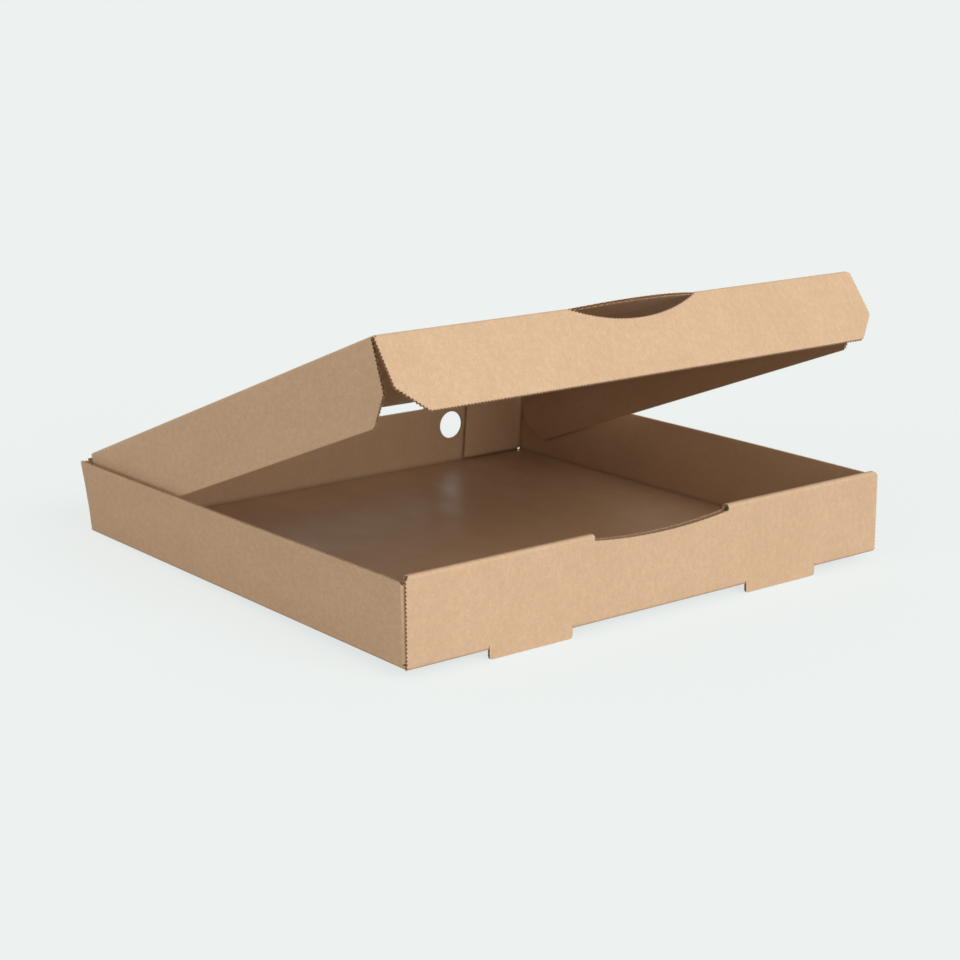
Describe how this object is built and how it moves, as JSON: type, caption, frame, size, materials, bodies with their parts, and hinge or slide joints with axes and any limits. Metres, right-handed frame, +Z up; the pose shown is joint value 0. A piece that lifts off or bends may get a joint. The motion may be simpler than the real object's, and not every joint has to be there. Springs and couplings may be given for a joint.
{
  "type": "pizza box",
  "caption": "Kraft corrugated pizza box, lid part open, with a rolled self-locking front wall, finger notches, feet and steam holes.",
  "frame": {"origin": "middle of the tray's underside, on the box's plane of symmetry", "axes": "+X along the front wall to the right, +Y from the front wall to the hinge, +Z up"},
  "size_m": [0.33, 0.3268, 0.1669],
  "materials": {
    "kraft_board": "matt kraft liner"
  },
  "bodies": {
    "tray": {"tray": "kraft_board"},
    "lid": {"lid": "kraft_board"},
    "front_flap": {"lid_front_flap": "kraft_board"},
    "left_flap": {"lid_left_flap": "kraft_board"},
    "right_flap": {"lid_right_flap": "kraft_board"}
  },
  "joints": [
    {"name": "lid_hinge", "type": "hinge", "parent": "tray", "child": "lid", "pos_m": [0, 0.16265, 0.04588], "axis": [-1, 0, 0], "range_deg": [-12.5, 159.5]},
    {"name": "front_flap_fold", "type": "hinge", "parent": "lid", "child": "front_flap", "pos_m": [0, -0.13723, 0.158], "axis": [-1, 0, 0], "range_deg": [-16.5, 73.5]},
    {"name": "left_flap_fold", "type": "hinge", "parent": "lid", "child": "left_flap", "pos_m": [-0.16165, 0.16239, 0.04518], "axis": [0, -0.9367, 0.3502], "range_deg": [0, 85]},
    {"name": "right_flap_fold", "type": "hinge", "parent": "lid", "child": "right_flap", "pos_m": [0.16165, 0.16239, 0.04518], "axis": [0, 0.9367, -0.3502], "range_deg": [0, 85]}
  ]
}
